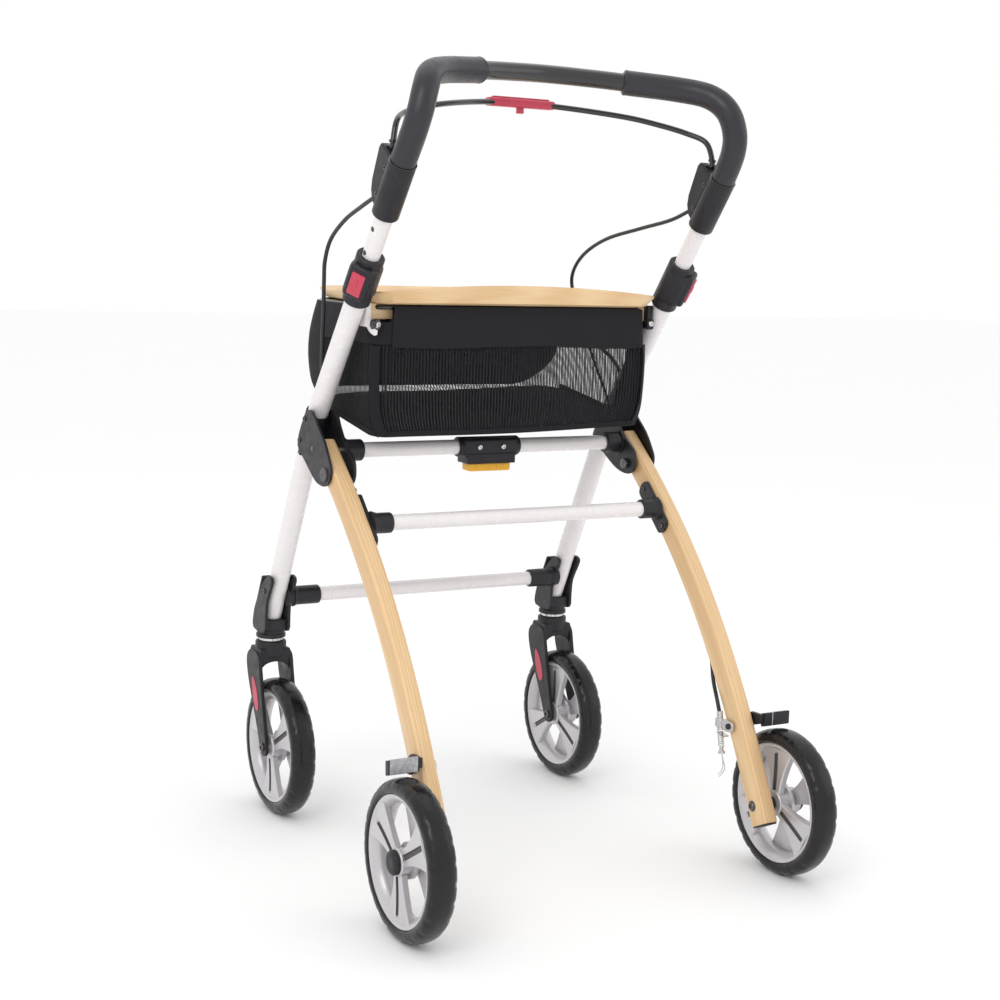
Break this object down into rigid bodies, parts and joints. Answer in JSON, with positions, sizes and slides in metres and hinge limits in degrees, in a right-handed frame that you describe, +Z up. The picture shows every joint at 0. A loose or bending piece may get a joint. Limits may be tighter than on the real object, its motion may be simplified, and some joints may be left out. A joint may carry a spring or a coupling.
{
  "type": "rollator walker",
  "caption": "Indoor rollator walker with white tube frame, curved wooden rear legs, U handle with brake bar, serving tray, mesh basket and spoked wheels.",
  "frame": {"origin": "on the floor, under the middle of the bounding box", "axes": "+X is the user's right, +Y the direction of travel, +Z up"},
  "size_m": [0.5604, 0.6652, 0.9711],
  "materials": {
    "white_paint": "gloss white powder coat on aluminium tube",
    "white_plastic": "moulded white plastic",
    "black_plastic": "fine textured black moulding",
    "black_gloss": "gloss black coat",
    "foam": "matte closed-cell foam grip",
    "oak": "bent laminated light oak, clear satin lacquer",
    "ply": "moulded plywood, clear satin lacquer",
    "mesh_fabric": "black woven mesh with a solid hem",
    "tyre": "smooth black tyre",
    "silver_rim": "silver painted plastic rim",
    "steel": "plated steel",
    "red_plastic": "red moulding",
    "yellow_plastic": "yellow moulding",
    "cable_sheath": "black cable housing"
  },
  "bodies": {
    "frame": {"front_tube_L": "white_paint", "front_tube_R": "white_paint", "upper_crossbar": "white_paint", "lower_crossbar": "white_paint", "hinge_bracket_L": "black_plastic", "hinge_bracket_R": "black_plastic", "fold_bolt_L": "steel", "fold_bolt_R": "steel", "caster_bracket_L": "black_plastic", "caster_bracket_R": "black_plastic", "height_clamp_L": "black_plastic", "height_clamp_R": "black_plastic", "release_housing": "black_plastic", "basket_hook_L": "white_plastic", "basket_hook_R": "black_plastic", "basket_frame": "black_gloss", "basket": "mesh_fabric", "brake_cable_L": "cable_sheath", "brake_cable_R": "cable_sheath"},
    "tray_body": {"tray": "ply"},
    "button_L": {"height_button_L": "red_plastic"},
    "button_R": {"height_button_R": "red_plastic"},
    "release": {"release_handle": "yellow_plastic"},
    "pin_L": {"lock_pin_L": "steel"},
    "pin_R": {"lock_pin_R": "steel"},
    "handle": {"inner_tube_L": "white_paint", "inner_tube_R": "white_paint", "handle_bar": "black_gloss", "grip_L": "foam", "grip_R": "foam", "handle_sleeve_L": "black_plastic", "handle_sleeve_R": "black_plastic", "brake_box_L": "black_plastic", "brake_box_R": "black_plastic"},
    "brake_lever": {"brake_bar": "black_gloss", "brake_bar_clip": "red_plastic"},
    "legs": {"rear_leg_L": "oak", "rear_leg_R": "oak", "mid_crossbar": "white_paint", "mid_bracket_L": "black_plastic", "mid_bracket_R": "black_plastic", "rear_axle_L": "black_plastic", "rear_axle_R": "black_plastic", "leg_cable_L": "cable_sheath", "leg_cable_R": "cable_sheath"},
    "arm_L": {"brake_arm_L": "black_plastic"},
    "arm_R": {"brake_arm_R": "black_plastic"},
    "rear_wheel_L": {"rear_tyre_L": "tyre", "rear_rim_L": "silver_rim"},
    "rear_wheel_R": {"rear_tyre_R": "tyre", "rear_rim_R": "silver_rim"},
    "caster_L": {"caster_fork_L": "black_plastic"},
    "caster_R": {"caster_fork_R": "black_plastic"},
    "front_wheel_L": {"front_tyre_L": "tyre", "front_rim_L": "silver_rim"},
    "front_wheel_R": {"front_tyre_R": "tyre", "front_rim_R": "silver_rim"}
  },
  "joints": [
    {"name": "leg_fold", "type": "hinge", "parent": "frame", "child": "legs", "pos_m": [0, 0.0556, 0.4745], "axis": [1, 0, 0], "range_deg": [0, 35]},
    {"name": "handle_height", "type": "slide", "parent": "frame", "child": "handle", "axis": [0, -0.5974, 0.8019], "range_m": [-0.0334, 0.0668], "deforming": ["brake_cable_L", "brake_cable_R"]},
    {"name": "tray_lift", "type": "slide", "parent": "frame", "child": "tray_body", "axis": [0, 0, 1], "range_m": [0, 0.15]},
    {"name": "height_button_L_press", "type": "slide", "parent": "frame", "child": "button_L", "axis": [0.7071, 0.567, 0.4224], "range_m": [0, 0.003], "stiffness_N_per_m": 400},
    {"name": "height_button_R_press", "type": "slide", "parent": "frame", "child": "button_R", "axis": [-0.7071, 0.567, 0.4224], "range_m": [0, 0.003], "stiffness_N_per_m": 400},
    {"name": "release_pull", "type": "slide", "parent": "frame", "child": "release", "axis": [0, 0, 1], "range_m": [0, 0.005], "stiffness_N_per_m": 400},
    {"name": "lock_pin_L_draw", "type": "slide", "parent": "frame", "child": "pin_L", "axis": [1, 0, 0], "range_m": [0, 0.005]},
    {"name": "lock_pin_R_draw", "type": "slide", "parent": "frame", "child": "pin_R", "axis": [-1, 0, 0], "range_m": [0, 0.005]},
    {"name": "brake_bar_pull", "type": "hinge", "parent": "handle", "child": "brake_lever", "pos_m": [0, -0.0713, 0.844], "axis": [1, 0, 0], "range_deg": [0, 14], "stiffness_Nm_per_rad": 3},
    {"name": "brake_arm_L_turn", "type": "hinge", "parent": "legs", "child": "arm_L", "pos_m": [-0.22, -0.1926, 0.1774], "axis": [1, 0, 0], "range_deg": [0, 6.4]},
    {"name": "brake_arm_R_turn", "type": "hinge", "parent": "legs", "child": "arm_R", "pos_m": [0.22, -0.1926, 0.1774], "axis": [1, 0, 0], "range_deg": [0, 6.4]},
    {"name": "rear_wheel_L_spin", "type": "hinge", "parent": "legs", "child": "rear_wheel_L", "pos_m": [-0.2562, -0.2426, 0.09], "axis": [1, 0, 0], "continuous": true},
    {"name": "rear_wheel_R_spin", "type": "hinge", "parent": "legs", "child": "rear_wheel_R", "pos_m": [0.2562, -0.2426, 0.09], "axis": [1, 0, 0], "continuous": true},
    {"name": "caster_L_swivel", "type": "hinge", "parent": "frame", "child": "caster_L", "pos_m": [-0.218, 0.2611, 0.226], "axis": [0, 0, 1], "continuous": true},
    {"name": "caster_R_swivel", "type": "hinge", "parent": "frame", "child": "caster_R", "pos_m": [0.218, 0.2611, 0.226], "axis": [0, 0, 1], "continuous": true},
    {"name": "front_wheel_L_spin", "type": "hinge", "parent": "caster_L", "child": "front_wheel_L", "pos_m": [-0.218, 0.2237, 0.09], "axis": [1, 0, 0], "continuous": true},
    {"name": "front_wheel_R_spin", "type": "hinge", "parent": "caster_R", "child": "front_wheel_R", "pos_m": [0.218, 0.2237, 0.09], "axis": [1, 0, 0], "continuous": true}
  ],
  "couplings": [
    {"joint": "lock_pin_L_draw", "follows": "release_pull", "ratio": 1},
    {"joint": "lock_pin_R_draw", "follows": "release_pull", "ratio": 1},
    {"joint": "brake_arm_L_turn", "follows": "brake_bar_pull", "ratio": 0.45},
    {"joint": "brake_arm_R_turn", "follows": "brake_bar_pull", "ratio": 0.45}
  ]
}
